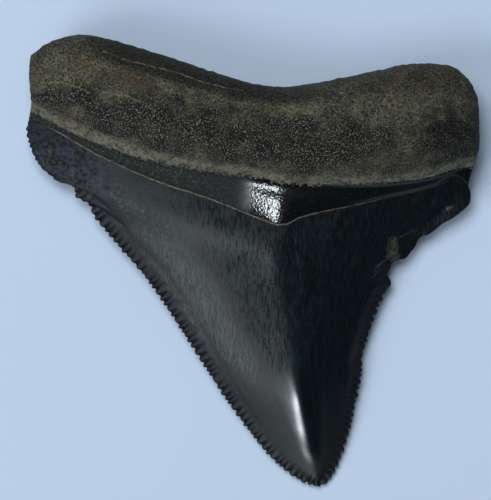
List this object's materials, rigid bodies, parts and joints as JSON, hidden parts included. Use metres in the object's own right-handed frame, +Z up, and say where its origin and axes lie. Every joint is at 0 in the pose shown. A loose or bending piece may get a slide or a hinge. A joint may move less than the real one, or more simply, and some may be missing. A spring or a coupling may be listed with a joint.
{
  "type": "fossil shark tooth",
  "caption": "Broad triangular fossil shark tooth with a thick two-lobed root, a dark band below it and a flat crown with serrated cutting edges, lying on its flatter face.",
  "frame": {"origin": "on the table under the middle of the tooth as it lies on its labial face", "axes": "+Z up, away from the table and out of the lingual face; +Y along the tooth from the tip towards the root; +X towards the right shoulder as seen from above with the tip nearest"},
  "size_m": [0.0508, 0.0508, 0.011],
  "materials": {
    "fossil_tooth": "satin"
  },
  "bodies": {
    "root": {"tooth": "fossil_tooth"}
  },
  "joints": []
}
